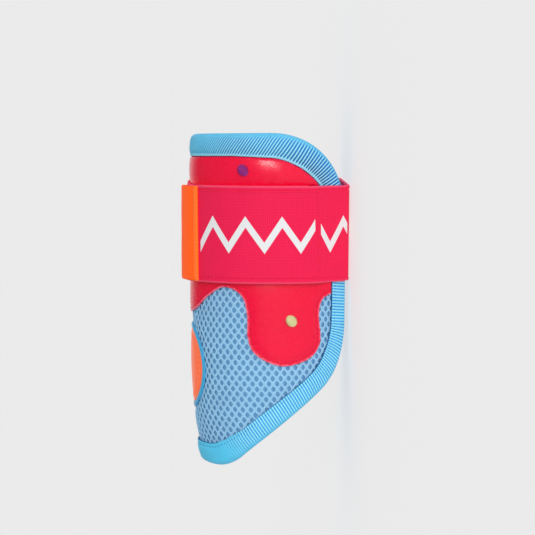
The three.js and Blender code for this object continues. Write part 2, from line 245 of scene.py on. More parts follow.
# the lobed edge of the leather panel is where the mesh cloth is sewn down, so the foam's crown needs it
lobe_front_tip = -51.8 * mm
lobe_side_end = -37 * mm
panel_side_end = -31 * mm
panel_inset = tape_width - 2 * mm
lobe_half = np.array([
    (18, -48.3), (31.5, -40), (46.5, -33), (58.4, -38.2), (62.2, -51), (62.2, -66), (67.4, -77.4),
    (83.3, -84.6), (101.7, -80.5), (110.6, -70), (110, -51), (113.5, -41),
]) * mm


def run_lengths(points):
    """How far along a polyline each of its points lies."""
    return np.concatenate([[0], np.cumsum(np.linalg.norm(np.diff(points, axis=0), axis=1))])


def line_at(places, runs, points):
    """Points at given places along a polyline whose own points lie at the given runs."""
    return np.stack([np.interp(places, runs, points[:, axis]) for axis in (0, 1)], -1)


def even_run(points, count):
    """Points spaced evenly along a polyline."""
    runs = run_lengths(points)
    return line_at(np.linspace(0, runs[-1], count), runs, points)


def spline_run(points, count):
    """Even points along a smooth curve through the given ones."""
    padded = np.concatenate([points[:1], points, points[-1:]])
    t = np.linspace(0, 1, 40, endpoint=False)[:, None]
    dense = []
    for a, b, c, d in zip(padded, padded[1:], padded[2:], padded[3:]):
        v0, v1 = (c - a) / 2, (d - b) / 2
        dense.append((2 * b - 2 * c + v0 + v1) * t ** 3 + (3 * c - 3 * b - 2 * v0 - v1) * t ** 2 + v0 * t + b)
    return even_run(np.concatenate([*dense, points[-1:]]), count)


lobe_end = np.array([[side_edge - panel_inset, lobe_side_end]])
lobe_right = np.concatenate([lobe_half, lobe_end])
lobe_points = np.concatenate([lobe_right[::-1] * (-1, 1), [(0, lobe_front_tip)], lobe_right])
lobe_edge = spline_run(lobe_points, 700)


def seam_run(flat, seam):
    """Distance of each place from a seam, and how far along the seam its nearest point lies."""
    places = flat.reshape(-1, 2)
    batch_size = 4000
    batches = np.array_split(places, max(1, len(places) // batch_size))
    nearest = np.concatenate([((batch[:, None] - seam) ** 2).sum(-1).argmin(1) for batch in batches])
    distance = np.linalg.norm(places - seam[nearest], axis=1)
    return distance.reshape(flat.shape[:-1]), run_lengths(seam)[nearest].reshape(flat.shape[:-1])


upper_half = half_outline(panel_inset, fine_step)
upper_half = upper_half[upper_half[:, 1] > panel_side_end]
upper_end = np.array([[side_edge - panel_inset, panel_side_end]])
upper_right = np.concatenate([upper_half, upper_end])
panel_upper = even_run(np.concatenate([upper_right[::-1] * (-1, 1), upper_right[1:]]), 900)
panel_outline = np.concatenate([lobe_edge, panel_upper[::-1]])


def under_panel(flat):
    """True where a place lies under the leather panel."""
    places = flat.reshape(-1, 2)
    inside = np.zeros(len(places), bool)
    for (x0, y0), (x1, y1) in zip(panel_outline, np.roll(panel_outline, -1, axis=0)):
        if y0 != y1:
            crosses = (y0 > places[:, 1]) != (y1 > places[:, 1])
            inside ^= crosses & (places[:, 0] < x0 + (x1 - x0) * (places[:, 1] - y0) / (y1 - y0))
    return inside.reshape(flat.shape[:-1])


# the tape is fed by hand as it is sewn, so its front leaf is wider at some places along the outline
tape_runs = np.array([0, 55, 80, 100, 118, 150, 205, 222, 250, 264, 277, 289, 300, 336, 352, 372, 418]) * mm
tape_widths = np.array([
    15, 14.8, 16, 17.6, 18, 17, 15.2, 15.2, 16.5, 16.7, 15.8, 14.8, 14.1, 13.5, 12.7, 15, 15,
]) * mm


def tape_reach(flat):
    """Width of the tape's front leaf beside each place."""
    run = seam_run(folded_half(flat), half_outline(0, 1 * mm))[1]
    return np.interp(run, tape_runs, tape_widths)


badge_along = -88 * mm
badge_half_across = 24 * mm
badge_half_along = 25 * mm
badge_press = 0.9 * mm
press_full, press_end = 1.12, 1.45
foam_crown = 1.2 * mm
foam_crown_reach = 11 * mm
foam_crown_power = 1.3


def badge_share(flat):
    """Distance from the badge's middle as a share of its half size."""
    return np.hypot(flat[..., 0] / badge_half_across, (flat[..., 1] - badge_along) / badge_half_along)


def foam_rise(flat):
    """How far the mesh cloth swells between the tape and the panel; the badge presses it down."""
    from_tape = inset_of(flat) - tape_reach(flat)
    from_seam = np.minimum(from_tape, seam_run(flat, lobe_edge[::4])[0])
    fall = np.exp(-(np.clip(from_seam, 0, None) / foam_crown_reach) ** foam_crown_power)
    swell = foam_crown * (1 - fall)
    swell -= badge_press * (1 - soft_step(badge_share(flat), press_full, press_end))
    return np.where(under_panel(flat), 0, swell)


pad_sink = 0.9 * mm
thick_start, thick_full = 13 * mm, 30 * mm
pad_top = on_shell(pad_flat, foam_rise(pad_flat) - pad_sink)
pad_thick = eased(inset_of(pad_flat), thick_start, thick_full, pad_edge_thick, pad_middle_thick)
pad_under = on_shell(pad_flat, -pad_thick)
pad_edge, pad_out = rim_outward(pad_flat)
pad_rings = []
for angle in half_turn(8):
    offset = pad_edge_thick / 2 * math.sin(angle)
    lift = (pad_edge_thick / 2 - pad_sink / 2) * math.cos(angle) - pad_edge_thick / 2 - pad_sink / 2
    pad_rings.append(on_shell(pad_edge + pad_out * offset, lift))
pad_foam = closed_slab("pad_foam", pad_top, pad_under, pad_rings, pad_flat)


def paint(red, green, blue):
    """A linear colour from screen values."""
    values = [channel / 255 for channel in (red, green, blue)]
    return (*[v / 12.92 if v <= 0.04045 else ((v + 0.055) / 1.055) ** 2.4 for v in values], 1)


def add_node(tree, kind, inputs=None, **settings):
    """A node with its settings, and with values or links on its inputs."""
    made = tree.nodes.new(kind)
    for key, value in settings.items():
        setattr(made, key, value)
    for key, value in (inputs or {}).items():
        if isinstance(value, bpy.types.NodeSocket):
            tree.links.new(value, made.inputs[key])
        else:
            made.inputs[key].default_value = value
    return made


def maths(tree, operation, *values):
    return add_node(tree, "ShaderNodeMath", dict(enumerate(values)), operation=operation).outputs[0]


def new_finish(name, **values):
    """A material with its Principled shader, whose plain values are set on the shader's own sockets."""
    finish = bpy.data.materials.new(name)
    finish.use_nodes = True
    shader = finish.node_tree.nodes["Principled BSDF"]
    for key, value in values.items():
        shader.inputs[key.replace("_", " ")].default_value = value
    return finish, finish.node_tree, shader


def new_tree(kind, name, inputs, outputs):
    """A node tree with named sockets; returns it with the inputs it is given and the outputs to put."""
    tree = bpy.data.node_groups.new(name, kind)
    for way, sockets in (("INPUT", inputs), ("OUTPUT", outputs)):
        for socket, holds in sockets.items():
            tree.interface.new_socket(socket, in_out=way, socket_type=holds)
    return tree, tree.nodes.new("NodeGroupInput").outputs, tree.nodes.new("NodeGroupOutput").inputs


def add_group(tree, group, inputs):
    """A node group placed in a tree, with values or links on its inputs; returns its outputs."""
    return add_node(tree, "ShaderNodeGroup", inputs, node_tree=group).outputs


def axes_of(tree, place):
    return add_node(tree, "ShaderNodeSeparateXYZ", {0: place}).outputs


def noise(tree, place, scale, detail):
    inputs = {"Vector": place, "Scale": scale, "Detail": detail}
    return add_node(tree, "ShaderNodeTexNoise", inputs).outputs["Fac"]


VALUE, VECTOR, COLOUR = "NodeSocketFloat", "NodeSocketVector", "NodeSocketColor"

# dye drift: the slow change of shade that dyed cloth and leather have
dye_drift, given, put = new_tree(
    "ShaderNodeTree", "dye_drift",
    {"Vector": VECTOR, "Colour": COLOUR, "Scale": VALUE, "Amount": VALUE},
    {"Colour": COLOUR},
)
clouds = noise(dye_drift, given["Vector"], given["Scale"], 3.0)
swing = maths(dye_drift, "MULTIPLY_ADD", clouds, given["Amount"], 1.0)
centred = maths(dye_drift, "SUBTRACT", swing, maths(dye_drift, "MULTIPLY", given["Amount"], 0.5))
tint = {0: given["Colour"], "Scale": centred}
scaled = add_node(dye_drift, "ShaderNodeVectorMath", tint, operation="SCALE").outputs[0]
dye_drift.links.new(scaled, put["Colour"])

# knit: two crossing sets of fine ribs with a little fuzz, on a pattern measured in metres
knit, given, put = new_tree(
    "ShaderNodeTree", "knit",
    {"Vector": VECTOR, "Pitch across": VALUE, "Pitch along": VALUE, "Fuzz": VALUE},
    {"Height": VALUE},
)
split = axes_of(knit, given["Vector"])
waves = []
for axis, pitch in (("X", "Pitch across"), ("Y", "Pitch along")):
    turns = maths(knit, "DIVIDE", split[axis], given[pitch])
    waves.append(maths(knit, "SINE", maths(knit, "MULTIPLY", turns, 2 * math.pi)))
crossing = maths(knit, "MULTIPLY_ADD", maths(knit, "ADD", *waves), 0.25, 0.5)
rough = maths(knit, "MULTIPLY", noise(knit, given["Vector"], 2600.0, 2.0), given["Fuzz"])
knit.links.new(maths(knit, "ADD", crossing, rough), put["Height"])


def pattern_of(tree):
    """The place in a piece's flat pattern, in metres."""
    return add_node(tree, "ShaderNodeUVMap", uv_map="pattern").outputs["UV"]


def dyed(tree, place, colour, scale, amount):
    inputs = {"Vector": place, "Colour": colour, "Scale": scale, "Amount": amount}
    return add_group(tree, dye_drift, inputs)["Colour"]


def knitted(tree, place, across, along, fuzz):
    inputs = {"Vector": place, "Pitch across": across, "Pitch along": along, "Fuzz": fuzz}
    return add_group(tree, knit, inputs)["Height"]


def dress(tree, shader, colour, height, distance, strength):
    """Puts a colour and a fine relief on a shader."""
    tree.links.new(colour, shader.inputs["Base Color"])
    bump = add_node(tree, "ShaderNodeBump", {"Height": height, "Distance": distance, "Strength": strength})
    tree.links.new(bump.outputs["Normal"], shader.inputs["Normal"])


foam_cloth, tree, shader = new_finish("foam_cloth", Roughness=0.95, Specular_IOR_Level=0.1)
pattern = pattern_of(tree)
shade = dyed(tree, pattern, paint(114, 174, 222), 60.0, 0.15)
dress(tree, shader, shade, knitted(tree, pattern, 0.9 * mm, 1.2 * mm, 0.6), 0.25 * mm, 0.8)
pad_foam.data.materials.append(foam_cloth)
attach(pad_foam, "root")
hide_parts("pad")

# Mesh cover
# The knitted air mesh over the pad's outside: threads that cross in a diamond lattice, with a pointed
# hole in each diamond. It is stretched over the foam and caught under the tape and the leather panel.
cell_pitch = 5.3 * mm
row_pitch = 3.45 * mm
hole_half = np.array([1.18, 1.5]) * mm
hole_point = 1.75
thread_depth = 0.65 * mm
tuck = 4 * mm
panel_overlap = 2.5 * mm
badge_overlap = 0.92
columns_out = math.ceil(side_edge / cell_pitch)
cell_places = []
for row in range(math.floor(tongue_end / row_pitch), 0):
    shift = cell_pitch / 2 * (row % 2)
    for column in range(-columns_out, columns_out):
        cell_places.append((column * cell_pitch + shift, row * row_pitch))
cell_places = np.array(cell_places)
seen = ~under_panel(cell_places) | (seam_run(cell_places, lobe_edge)[0] < panel_overlap)
seen &= (inset_of(cell_places) > tape_width - tuck) & (badge_share(cell_places) > badge_overlap)
cell_places = cell_places[seen]

# one cell is a diamond from thread crest to thread crest, going down into the wall of its hole
diamond = np.array([(cell_pitch / 2, 0), (0, row_pitch), (-cell_pitch / 2, 0), (0, -row_pitch)])
steps = np.linspace(0, 1, 3, endpoint=False)[:, None]
border = np.concatenate([a + (b - a) * steps for a, b in zip(diamond, np.roll(diamond, -1, axis=0))])
angles = np.arctan2(border[:, 1] / hole_half[1], border[:, 0] / hole_half[0])
spokes = np.stack([np.cos(angles), np.sin(angles)], -1)
hole_reach = (np.abs(spokes) ** hole_point).sum(-1, keepdims=True) ** (-1 / hole_point)
hole = hole_half * spokes * hole_reach
crossing_lift = np.where(np.arange(len(border)) % len(steps) == 0, 0.22, 0.1) * mm
cell_rings = (
    (0.0, crossing_lift),
    (0.4, crossing_lift * 0.75),
    (0.8, -0.08 * mm),
    (1.0, -0.35 * mm),
    (1.0, -thread_depth),
)
cell_points = np.concatenate([
    np.column_stack([border + (hole - border) * share, np.broadcast_to(lift, len(border))])
    for share, lift in cell_rings
])
ring_index = np.arange(len(cell_points)).reshape(len(cell_rings), -1)
cell_faces = np.concatenate([ring_faces(a, b)[:, ::-1] for a, b in zip(ring_index, ring_index[1:])])
net_cell = new_piece("net_cell", cell_points, cell_faces)
mesh_cover = new_piece("mesh_cover", np.column_stack([cell_places, np.zeros(len(cell_places))]), [])


def blended(tree, share, low, high):
    """A colour between two others."""
    return add_node(tree, "ShaderNodeMix", {0: share, 6: low, 7: high}, data_type="RGBA").outputs[2]


def ramp(tree, value, low, high, top=1.0, bottom=0.0):
    """A share that goes from bottom to top while a value goes from low to high."""
    inputs = {"Value": value, "From Min": low, "From Max": high, "To Min": bottom, "To Max": top}
    return add_node(tree, "ShaderNodeMapRange", inputs).outputs[0]


def kept_value(tree, name):
    """A number kept for each point of a piece, for its material."""
    return add_node(tree, "ShaderNodeAttribute", attribute_name=name).outputs["Fac"]


air_mesh, tree, shader = new_finish(
    "air_mesh", Roughness=0.7, Specular_IOR_Level=0.2, Sheen_Weight=0.08, Sheen_Roughness=0.4,
    Sheen_Tint=paint(150, 200, 240),
)
pattern = pattern_of(tree)
loops = knitted(tree, pattern, 0.7 * mm, 1.05 * mm, 1.0)
worn = blended(tree, loops, paint(120, 184, 234), dyed(tree, pattern, paint(162, 216, 252), 90.0, 0.2))
# painted shade: the threads are painted darker down the wall of each hole
hole_wall_shade = ramp(tree, kept_value(tree, "depth"), 0.0, -0.4 * mm)
dress(tree, shader, blended(tree, hole_wall_shade, worn, paint(78, 134, 186)), loops, 0.3 * mm, 0.7)


def new_node_tool(name, inputs):
    """A Geometry Nodes tree with named inputs; returns it with its inputs and a way to finish it."""
    shape = {"Geometry": "NodeSocketGeometry"}
    sockets = {**shape, **inputs, "Finish": "NodeSocketMaterial"}
    tool, given, put = new_tree("GeometryNodeTree", name, sockets, shape)
    weld = 0.001 * mm

    def end_with(geometry):
        for kind, values in (
            ("GeometryNodeRealizeInstances", {}),
            ("GeometryNodeMergeByDistance", {"Distance": weld}),
            ("GeometryNodeSetMaterial", {"Material": given["Finish"]}),
        ):
            geometry = add_node(tool, kind, {"Geometry": geometry, **values}).outputs[0]
        tool.links.new(geometry, put["Geometry"])

    return tool, given, end_with


def worked_out(piece):
    """A plain mesh of a piece as its modifiers leave it."""
    graph = bpy.context.evaluated_depsgraph_get()
    return bpy.data.meshes.new_from_object(piece.evaluated_get(graph))


def run_node_tool(piece, tool, values):
    """Runs a tree on a piece and leaves the result as the piece's own plain mesh."""
    modifier = piece.modifiers.new(tool.name, "NODES")
    modifier.node_group = tool
    for socket in tool.interface.items_tree:
        if socket.in_out == "INPUT" and socket.name in values:
            modifier[socket.identifier] = values[socket.name]
    piece.update_tag()
    mesh = worked_out(piece)
    piece.modifiers.clear()
    piece.data = mesh
    mesh.shade_smooth()


net_tool, given, end_with = new_node_tool("knit_net", {"Cell": "NodeSocketObject"})
cell = add_node(net_tool, "GeometryNodeObjectInfo", {"Object": given["Cell"], "As Instance": True})
cells = {"Points": given["Geometry"], "Instance": cell.outputs["Geometry"]}
end_with(add_node(net_tool, "GeometryNodeInstanceOnPoints", cells).outputs[0])
run_node_tool(mesh_cover, net_tool, {"Cell": net_cell, "Finish": air_mesh})
bpy.data.objects.remove(net_cell)


def points_of(mesh):
    points = np.empty(len(mesh.vertices) * 3)
    mesh.vertices.foreach_get("co", points)
    return points.reshape(-1, 3)


def keep_values(piece, name, values, kind="FLOAT", field="value"):
    """Keeps one number or one vector for each point of a piece."""
    attribute = piece.data.attributes.new(name, kind, "POINT")
    attribute.data.foreach_set(field, np.asarray(values, np.float32).ravel())


net_flat = points_of(mesh_cover.data)
keep_pattern(mesh_cover.data, net_flat[:, :2])
keep_values(mesh_cover, "depth", net_flat[:, 2])
net_points = on_shell(net_flat[:, :2], foam_rise(net_flat[:, :2]) + net_flat[:, 2])
mesh_cover.data.vertices.foreach_set("co", net_points.astype(np.float32).ravel())
mesh_cover.data.update()
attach(mesh_cover, "root")

# Leather panel
# The padded front of soft synthetic leather, cut in lobes along its lower edge and sewn down near that
# edge. Its upper edge goes under the tape and the strap holds its middle down, so it swells between them.
panel_thick = 1.2 * mm
panel_base = 0.35 * mm
panel_face = panel_base + panel_thick
strap_width = 63.5 * mm
strap_rise_near = 1.4 * mm
strap_rise_far = 5 * mm
rise_turn = 20 * mm
lobe_stitch_in = 1.8 * mm
swell_cap = 6 * mm
front_hold, front_held, front_free = 0.22, 40 * mm, 110 * mm
lobe_hold, lobe_turn = 0.25, 20 * mm
pin_margin = 0.5 * mm
tape_pin_margin = 0.6 * mm
swell_frames = 20
swell_settings = {
    "quality": 6,
    "mass": 0.1,
    "tension_stiffness": 0.2,
    "compression_stiffness": 0.2,
    "shear_stiffness": 0.12,
    "bending_stiffness": 0.02,
    "air_damping": 1,
    "use_pressure": True,
    "uniform_pressure_force": 2000,
}
panel_low = even_run(lobe_edge, 420)
# shares of the lobed edge and of the edge under the tape: the columns fan out, so none crosses a notch
fan_low = (0, 0.15, 0.3, 0.45, 0.6, 0.75, 0.87, 0.9, 0.93, 0.96, 1)
fan_high = (0, 0.155, 0.288, 0.395, 0.465, 0.51, 0.53, 0.58, 0.67, 0.8, 1)
column_share = np.linspace(-1, 1, len(panel_low))
fanned_share = np.sign(column_share) * np.interp(np.abs(column_share), fan_low, fan_high)
upper_share = np.linspace(-1, 1, len(panel_upper))
panel_high = line_at(fanned_share, upper_share, panel_upper)


def strap_rise(across):
    """How much nearer to the wide end the strap lies than the middle of the pattern."""
    return eased(-across, -rise_turn, rise_turn, strap_rise_near, strap_rise_far)


def panel_grid(shares):
    return panel_low + (panel_high - panel_low) * shares[:, None, None]


def swollen(flat):
    """How far the leather swells off the pad: blown up as cloth, held at its sewing and under the strap."""
    rows, columns = flat.shape[:2]
    start = on_shell(flat, panel_face)
    sheet = new_piece("panel_sheet", start.reshape(-1, 3), grid_faces(rows, columns))
    held = seam_run(flat, lobe_edge[::3])[0] < lobe_stitch_in + pin_margin
    held |= inset_of(flat) < tape_reach(flat) + tape_pin_margin
    held |= np.abs(flat[..., 1] - strap_rise(flat[..., 0])) < strap_width / 2 - pin_margin
    pins = sheet.vertex_groups.new(name="held")
    pins.add(np.flatnonzero(held).tolist(), 1.0, "REPLACE")
    cloth = sheet.modifiers.new("cloth", "CLOTH")
    for setting, value in swell_settings.items():
        setattr(cloth.settings, setting, value)
    cloth.settings.vertex_group_mass = pins.name
    cloth.settings.effector_weights.gravity = 0
    cloth.collision_settings.use_collision = False
    scene = bpy.context.scene
    first_frame = scene.frame_current
    for number in range(swell_frames):
        scene.frame_set(number + 1)
    blown = worked_out(sheet)
    moved = points_of(blown).reshape(rows, columns, 3) - start
    bpy.data.objects.remove(sheet)
    bpy.data.meshes.remove(blown)
    scene.frame_set(first_frame)
    lift = (moved * shell_normal(flat[..., 0], flat[..., 1])).sum(-1)
    firmness = eased(np.abs(flat[..., 0]), front_held, front_free, front_hold, 1)
    firmness *= eased(flat[..., 1], -lobe_turn, lobe_turn, lobe_hold, 1)
    return swell_cap * np.tanh(np.clip(lift, 0, None) / swell_cap) * firmness


coarse_shares = np.linspace(0, 1, 48)
coarse_flat = panel_grid(coarse_shares)[:, ::2]
coarse_swell = swollen(coarse_flat)
even = np.linspace(0, 1, 96)
row_gather = 0.8
panel_shares = even - row_gather * np.sin(2 * math.pi * even) / (2 * math.pi)
panel_flat = panel_grid(panel_shares)
by_row = np.stack([np.interp(panel_shares, coarse_shares, column) for column in coarse_swell.T], 1)
every_column = np.arange(panel_flat.shape[1])
panel_swell = np.stack([np.interp(every_column, every_column[::2], row) for row in by_row])


def bell(distance, reach):
    """1 at no distance, and next to nothing past twice the reach."""
    return np.exp(-(distance / reach) ** 2)


pucker = 0.07 * mm
pucker_pitch = 7.3 * mm
pucker_reach = 5 * mm
pucker_middle = 4.5 * mm
groove_depth, groove_half = 0.16 * mm, 0.7 * mm
tape_press, tape_lip, tape_slope = 1.35 * mm, 1.2 * mm, 1.4 * mm
from_lobe, lobe_run = seam_run(panel_flat, lobe_edge)
panel_depth = inset_of(panel_flat)
panel_tape = tape_reach(panel_flat)
puckers = np.exp(-np.abs(from_lobe - pucker_middle) / pucker_reach)
puckers *= np.sin(lobe_run / pucker_pitch * 2 * math.pi)
past_tape = np.clip(panel_depth - panel_tape - 1 * mm, 0, None)
free = soft_step(from_lobe, lobe_stitch_in, 5 * mm) * soft_step(past_tape, 0, 3 * mm)
from_strap = np.abs(panel_flat[..., 1] - strap_rise(panel_flat[..., 0])) - strap_width / 2
clear_of_strap = soft_step(from_strap, -2 * mm, 4 * mm)
stitch_groove = groove_depth * bell(from_lobe - lobe_stitch_in, groove_half)
under_tape = tape_press * soft_step(panel_tape + tape_lip - panel_depth, 0, tape_slope)
panel_swell *= soft_step(from_lobe, lobe_stitch_in, lobe_stitch_in + 4 * mm)
panel_lift = panel_face + panel_swell - stitch_groove - under_tape
panel_lift += pucker * puckers * free * clear_of_strap
panel_top = on_shell(panel_flat, panel_lift)
panel_under = on_shell(panel_flat, panel_base - under_tape * 0.9)
panel_edge, panel_out = rim_outward(panel_flat)
panel_rim = grid_rim(*panel_flat.shape[:2])
rim_drop = under_tape.ravel()[panel_rim]
rim_round = 0.35 * mm
panel_rings = [
    on_shell(panel_edge + panel_out * rim_round * bulge, panel_base + panel_thick * share - rim_drop)
    for bulge, share in ((0.7, 0.9), (1.0, 0.5), (0.7, 0.15))
]
panel_leather = closed_slab("panel_leather", panel_top, panel_under, panel_rings, panel_flat)
# how far from the lobed cut edge its pale pink reaches: partly the cut edge's own paler core, partly a
# painted highlight
cut_reach = 0.6 * mm
cut = bell(from_lobe, cut_reach).ravel()
keep_values(panel_leather, "cut_edge", slab_values(cut, panel_rim, panel_rings))
panel_places = panel_flat.reshape(-1, 2)


def panel_height(flat):
    """Height of the leather's surface at places of the flat pattern."""
    nearest = [((place - panel_places) ** 2).sum(-1).argmin() for place in flat]
    return panel_lift.ravel()[nearest]


red_leather, tree, shader = new_finish("red_leather", Roughness=0.3, Specular_IOR_Level=0.6)
pattern = pattern_of(tree)
shade = dyed(tree, pattern, paint(255, 3, 62), 45.0, 0.14)
# pale pink in broken patches along the lobed cut edge: partly the cut edge's own paler core, partly a painted
# highlight on its rounded edge
pale_edge_and_highlight = ramp(tree, noise(tree, pattern, 320.0, 2.0), 0.35, 0.6)
pale_edge_and_highlight = maths(tree, "MULTIPLY", kept_value(tree, "cut_edge"), pale_edge_and_highlight)
edged = blended(tree, pale_edge_and_highlight, shade, paint(255, 140, 168))
grain = add_node(tree, "ShaderNodeTexVoronoi", {"Vector": pattern, "Scale": 1250.0}, feature="SMOOTH_F1")
creases = noise(tree, pattern, 240.0, 4.0)
relief = maths(tree, "MULTIPLY_ADD", creases, 0.9, grain.outputs["Distance"])
dress(tree, shader, edged, relief, 0.16 * mm, 0.4)
gloss = ramp(tree, creases, 0.0, 1.0, top=0.32, bottom=0.22)
tree.links.new(gloss, shader.inputs["Roughness"])
panel_leather.data.materials.append(red_leather)
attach(panel_leather, "root")
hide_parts("panel")

# Edge tape
# Ribbed binding tape folded over the pad's whole edge, with a smooth selvedge along its front edge. One
# row of stitches goes through it, the pad and the tape's back, and the tape swells between it and the fold.
tape_thick = 1.2 * mm
tape_gap = 0.3 * mm
rib_pitch = 1.95 * mm
rib_slant_wide, rib_slant_side = 0.7, 0.1
slant_turn = (78 * mm, 114 * mm)
rib_pivot = 10 * mm
rib_height = 0.5 * mm
rib_round, rib_level = 0.7, 0.7
tape_station = 0.355 * mm
selvedge = 1.4 * mm
tape_stitch_in = 2.4 * mm
stitch_dip, edge_dip = 0.7 * mm, 0.25 * mm
tape_swell = 0.55 * mm
fold_start = 11.5 * mm
fold_end = fold_start + 2.5 * mm
fold_smooth, end_smooth = 0.85, 0.85
tongue_flat = (348 * mm, 378 * mm)
wide_flat, wide_flat_share = (15 * mm, 60 * mm), 0.65
# where the tape's grooves are painted darker and its crests narrower (painted shade), and where its pale
# selvedge shows: along the sides, less at the wide end, not along the tongue
side_shade_turn, wide_shade_share = (80 * mm, 125 * mm), 0.6
shade_end = (150 * mm, 225 * mm)


def tape_section(radius, insets, round_steps, swell):
    """(inset, height) places of a folded tape's face, from its front edge round to its back edge."""
    middle = -pad_edge_thick / 2
    share = (tape_width - insets) / (tape_width - edge_core)
    dip = 0.75 * bell(tape_width - insets - tape_stitch_in, stitch_dip)
    edge_drop = 0.5 * bell(tape_width - insets, edge_dip)
    lift = swell * (np.sin(share * math.pi) - dip - edge_drop)
    front = np.stack([insets, middle + radius + lift], -1)
    turns = half_turn(round_steps)
    fold = np.stack([edge_core - radius * np.sin(turns), middle + radius * np.cos(turns)], -1)
    back = np.stack([np.linspace(edge_core, tape_back_width, 4), np.full(4, middle - radius)], -1)
    return np.concatenate([front, fold, back])


def loop_run(loop):
    """How far along a closed line each of its points lies, and the line's whole length."""
    steps = np.linalg.norm(np.roll(loop, -1, axis=0) - loop, axis=1)
    return np.cumsum(steps) - steps, steps.sum()


inner_reach = pad_edge_thick / 2 + tape_gap
front_insets = np.array([15, 14.75, 14.4, 14, 13.6, 13.1]) * mm
front_insets = np.concatenate([front_insets, np.linspace(12.6 * mm, edge_core, 11)])
tape_outside = tape_section(inner_reach + tape_thick, front_insets, 9, tape_swell)
tape_inside = tape_section(inner_reach, np.linspace(tape_width, edge_core, 3), 4, 0)[::-1]
tape_rings = np.concatenate([tape_outside, tape_inside])
full_loop = outline_loop(0, tape_station)
inset_loop = outline_loop(tape_width, tape_station)
stations = len(full_loop)
tape_run, tape_length = loop_run(full_loop)
half_run = np.minimum(tape_run, tape_length - tape_run)
tape_stretch = (np.interp(half_run, tape_runs, tape_widths) - edge_core) / (tape_width - edge_core)


def tape_line(inset):
    """The line round the tape at an inset given for its usual width."""
    insets = np.full(stations, inset)
    if inset > edge_core:
        insets = edge_core + (inset - edge_core) * tape_stretch
    return full_loop + (inset_loop - full_loop) * (insets / tape_width)[:, None]


tape_points = np.concatenate([on_shell(tape_line(inset), height) for inset, height in tape_rings])
tape_index = np.arange(len(tape_points)).reshape(len(tape_rings), stations)
tape_faces = np.concatenate([
    ring_faces(a, b)[:, ::-1] for a, b in zip(tape_index, np.roll(tape_index, -1, axis=0))
])
edge_tape = new_piece("edge_tape", tape_points, tape_faces)

# the ribs are counted on the tape's middle line; they slant at the wide end, and fade at both ends
middle_run, middle_length = loop_run(tape_line(tape_width / 2))
rib_count = round(middle_length / rib_pitch)
around = np.concatenate([run_lengths(tape_outside), np.full(len(tape_inside), -1 * mm)])
rib_slant = eased(half_run, *slant_turn, rib_slant_wide, rib_slant_side)
rib_turn = (middle_run - rib_slant * (around[:, None] - rib_pivot)) / middle_length * rib_count
outside = np.arange(len(tape_rings)) < len(tape_outside)
on_fold = soft_step(around, fold_start, fold_end)
ribbing = outside * soft_step(around, selvedge * 0.8, selvedge * 1.4) * (1 - fold_smooth * on_fold)
flattened = soft_step(half_run, *tongue_flat) + wide_flat_share * (1 - soft_step(half_run, *wide_flat))
# painted shade and the selvedge: 1 along the sides, less at the wide end, 0 along the tongue
groove_shade_and_selvedge = eased(half_run, *side_shade_turn, wide_shade_share, 1) * (1 - soft_step(half_run, *shade_end))
for name, values in (
    ("rib_turn", rib_turn),
    ("around", np.broadcast_to(around[:, None], rib_turn.shape)),
    ("ribbing", ribbing[:, None] * (1 - end_smooth * flattened)),
    ("flattened", np.broadcast_to(flattened, rib_turn.shape)),
    ("groove_shade_and_selvedge", np.broadcast_to(groove_shade_and_selvedge, rib_turn.shape)),
):
    keep_values(edge_tape, name, values)


def rib_arch(tree, turns):
    """The round back of the ribs: 0 in each groove and 1 on each crest."""
    return maths(tree, "ABSOLUTE", maths(tree, "SINE", maths(tree, "MULTIPLY", turns, math.pi)))


def place_of(tree):
    """The place in the room, in metres."""
    return add_node(tree, "ShaderNodeTexCoord").outputs["Object"]


ribbed_tape, tree, shader = new_finish("ribbed_tape", Roughness=0.55, Specular_IOR_Level=0.15)
turns, across_tape, flat_share, shade_and_selvedge_share = [
    kept_value(tree, name) for name in ("rib_turn", "around", "flattened", "groove_shade_and_selvedge")
]
# painted highlight and shade: the ribs are painted light on their crests and dark in their grooves, and the
# grooves are painted darker near the stitch line than near the fold
crest_highlight = maths(tree, "POWER", rib_arch(tree, turns), maths(tree, "MULTIPLY_ADD", shade_and_selvedge_share, 1.2, 1.8))
near_fold = ramp(tree, across_tape, tape_stitch_in, fold_start)
groove_shade = blended(tree, near_fold, paint(0, 50, 140), paint(0, 110, 204))
groove_shade = blended(tree, shade_and_selvedge_share, paint(0, 160, 238), groove_shade)
ribbed = blended(tree, crest_highlight, groove_shade, paint(164, 240, 255))
ribbed = blended(tree, maths(tree, "MULTIPLY", flat_share, end_smooth), ribbed, paint(88, 214, 255))
ribbed = blended(tree, ramp(tree, across_tape, fold_start, fold_end, 0.8), ribbed, paint(100, 204, 246))
plain = ramp(tree, across_tape, selvedge * 1.3, selvedge * 0.8, 0.8)
shown = maths(tree, "MINIMUM", maths(tree, "MULTIPLY", shade_and_selvedge_share, 1.6), 1.0)
edged = blended(tree, maths(tree, "MULTIPLY", plain, shown), ribbed, paint(160, 234, 255))
# a dark line along the tape's front edge, where it meets the mesh and the leather: partly the seam, partly
# painted shadow
edged = blended(tree, ramp(tree, across_tape, 0.4 * mm, -0.1 * mm, 0.85), edged, paint(16, 78, 146))
shade = dyed(tree, place_of(tree), edged, 120.0, 0.18)
thread_run = maths(tree, "MULTIPLY", turns, rib_pitch)
thread_place = add_node(tree, "ShaderNodeCombineXYZ", {0: thread_run, 1: across_tape}).outputs[0]
dress(tree, shader, shade, knitted(tree, thread_place, 1 * mm, 0.5 * mm, 0.7), 0.12 * mm, 0.6)


def point_value(tool, name, kind="FLOAT"):
    """A number or vector kept for each point of a piece, for a Geometry Nodes tree."""
    return add_node(tool, "GeometryNodeInputNamedAttribute", {"Name": name}, data_type=kind).outputs[0]


